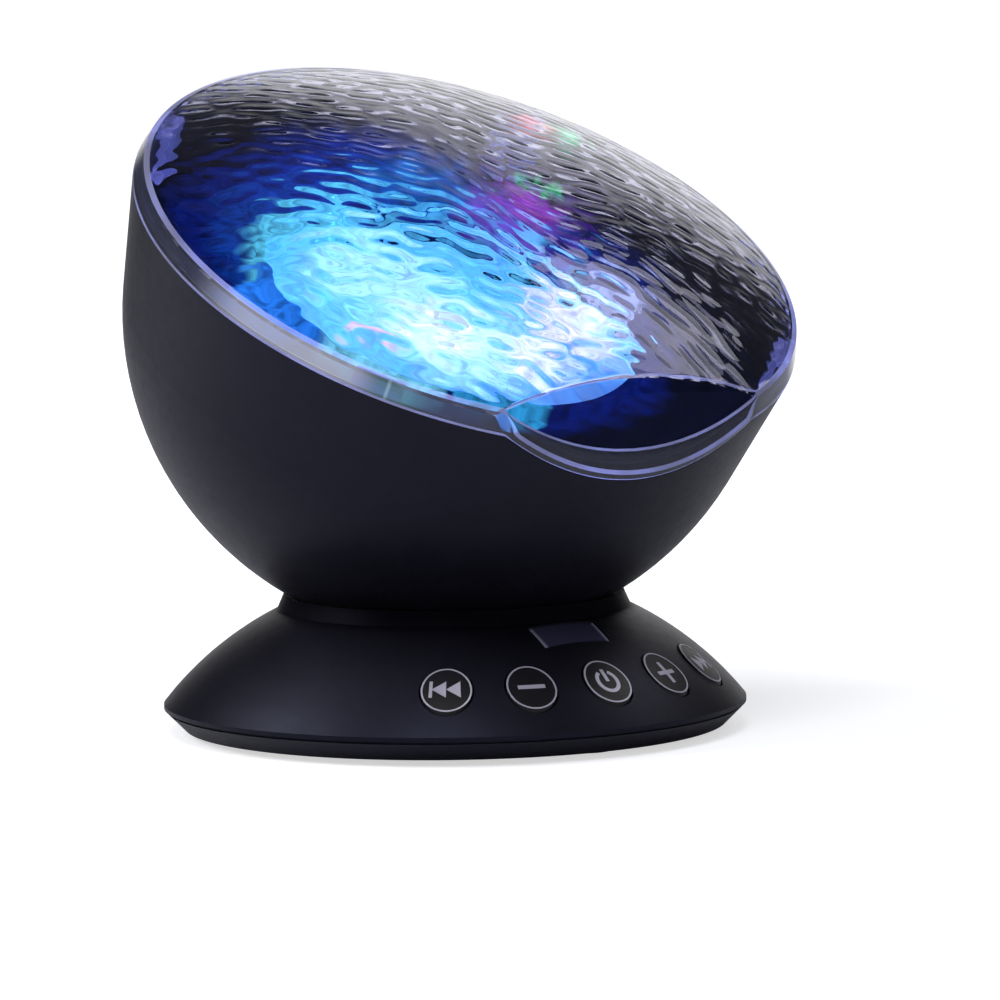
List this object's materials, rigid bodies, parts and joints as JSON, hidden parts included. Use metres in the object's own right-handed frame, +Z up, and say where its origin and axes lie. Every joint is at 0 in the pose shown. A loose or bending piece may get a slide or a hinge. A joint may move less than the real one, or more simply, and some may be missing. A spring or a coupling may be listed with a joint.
{
  "type": "ocean wave projector",
  "caption": "Bedside light projector: black bowl head under a clear rippled dome, tilting like a ball in the ring of a bell-shaped base with round keys.",
  "frame": {"origin": "on the table, under the middle of the base and of its centre foot", "axes": "+Z up along the base's axis, -Y to the front where the keys are, +X to the right of someone who stands in front and faces the keys"},
  "size_m": [0.126, 0.1162, 0.1214],
  "materials": {
    "black_abs": "satin moulded",
    "clear_dome": "clear, rippled",
    "clear_lens": "clear, rippled",
    "key_abs": "satin, printed icon",
    "ir_acrylic": "polished, dark",
    "foot_rubber": "matte",
    "screw_steel": "zinc plated",
    "socket_metal": "bright tin",
    "socket_black": "moulded",
    "board_green": "solder mask",
    "board_white": "white solder mask",
    "lamp_epoxy": "clear epoxy",
    "speaker_metal": "black",
    "speaker_paper": "pressed",
    "white_acetal": "natural",
    "motor_steel": "plated can"
  },
  "bodies": {
    "base": {"base_tray": "black_abs", "base_bell": "black_abs", "rubber_feet": "foot_rubber", "base_screws": "screw_steel", "speaker_frame": "speaker_metal", "speaker_cone": "speaker_paper", "main_board": "board_green", "board_screws": "screw_steel", "tact_switches": "socket_black", "usb_socket": "socket_metal", "audio_jack": "socket_black", "ir_receiver": "socket_black", "ir_window": "ir_acrylic", "seat_ring": "white_acetal", "tilt_bolt": "screw_steel", "tilt_saddle": "white_acetal", "saddle_spring": "screw_steel", "saddle_nut": "screw_steel"},
    "head": {"bowl_shell": "black_abs", "dome_cover": "clear_dome", "inner_deck": "black_abs", "deck_screws": "screw_steel", "light_carrier": "black_abs", "carrier_screws": "screw_steel", "led_board": "board_white", "led_lamps": "lamp_epoxy", "led_screws": "screw_steel", "head_plug": "white_acetal", "gear_motor": "motor_steel", "motor_screws": "screw_steel", "wheel_axle": "screw_steel", "axle_clip": "screw_steel"},
    "wave_wheel": {"wave_ring": "white_acetal", "wave_lens": "clear_lens"},
    "pinion": {"drive_pinion": "white_acetal"},
    "previous_key": {"key_previous": "key_abs"},
    "minus_key": {"key_minus": "key_abs"},
    "power_key": {"key_power": "key_abs"},
    "plus_key": {"key_plus": "key_abs"},
    "next_key": {"key_next": "key_abs"}
  },
  "joints": [
    {"name": "head_tilt", "type": "hinge", "parent": "base", "child": "head", "pos_m": [0, 0, 0.07697], "axis": [1, 0, 0], "range_deg": [-30, 0]},
    {"name": "wave_spin", "type": "hinge", "parent": "head", "child": "wave_wheel", "pos_m": [0, 0, 0.07697], "axis": [0, -0.5, 0.866], "continuous": true},
    {"name": "pinion_spin", "type": "hinge", "parent": "head", "child": "pinion", "pos_m": [0, 0.03897, 0.09947], "axis": [0, -0.5, 0.866], "continuous": true},
    {"name": "previous_press", "type": "slide", "parent": "base", "child": "previous_key", "axis": [0, 0, -1], "range_m": [0, 0.0005], "stiffness_N_per_m": 3000},
    {"name": "minus_press", "type": "slide", "parent": "base", "child": "minus_key", "axis": [0, 0, -1], "range_m": [0, 0.0005], "stiffness_N_per_m": 3000},
    {"name": "power_press", "type": "slide", "parent": "base", "child": "power_key", "axis": [0, 0, -1], "range_m": [0, 0.0005], "stiffness_N_per_m": 3000},
    {"name": "plus_press", "type": "slide", "parent": "base", "child": "plus_key", "axis": [0, 0, -1], "range_m": [0, 0.0005], "stiffness_N_per_m": 3000},
    {"name": "next_press", "type": "slide", "parent": "base", "child": "next_key", "axis": [0, 0, -1], "range_m": [0, 0.0005], "stiffness_N_per_m": 3000}
  ],
  "couplings": [
    {"joint": "pinion_spin", "follows": "wave_spin", "ratio": -6.5}
  ]
}
